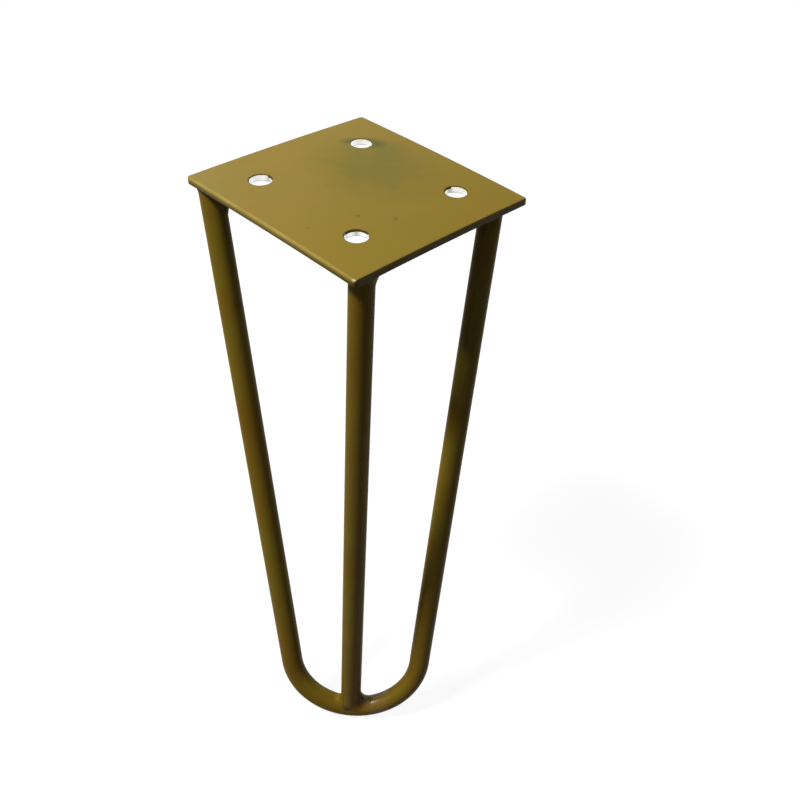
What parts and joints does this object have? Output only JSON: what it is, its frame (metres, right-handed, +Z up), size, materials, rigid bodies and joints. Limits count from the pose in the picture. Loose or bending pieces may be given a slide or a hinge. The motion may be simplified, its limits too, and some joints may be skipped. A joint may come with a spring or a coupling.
{
  "type": "hairpin table leg",
  "caption": "Short hairpin table leg: a bar bent to a U and a straight third bar, welded under a square-cut drilled mounting plate, painted satin gold.",
  "frame": {"origin": "centre of the screw holes on the plate's top face, which goes against the table's underside", "axes": "+Z up into the table, +X along the plate's length, +Y across it; the foot splays out past the plate's corner at +X, -Y"},
  "size_m": [0.132, 0.135, 0.25],
  "materials": {
    "gold_paint": "satin"
  },
  "bodies": {
    "root": {"mounting_plate": "gold_paint", "hairpin_bar": "gold_paint", "third_bar": "gold_paint", "weld_hairpin_left": "gold_paint", "weld_hairpin_right": "gold_paint", "weld_third_bar": "gold_paint", "weld_foot_left": "gold_paint", "weld_foot_right": "gold_paint"}
  },
  "joints": []
}
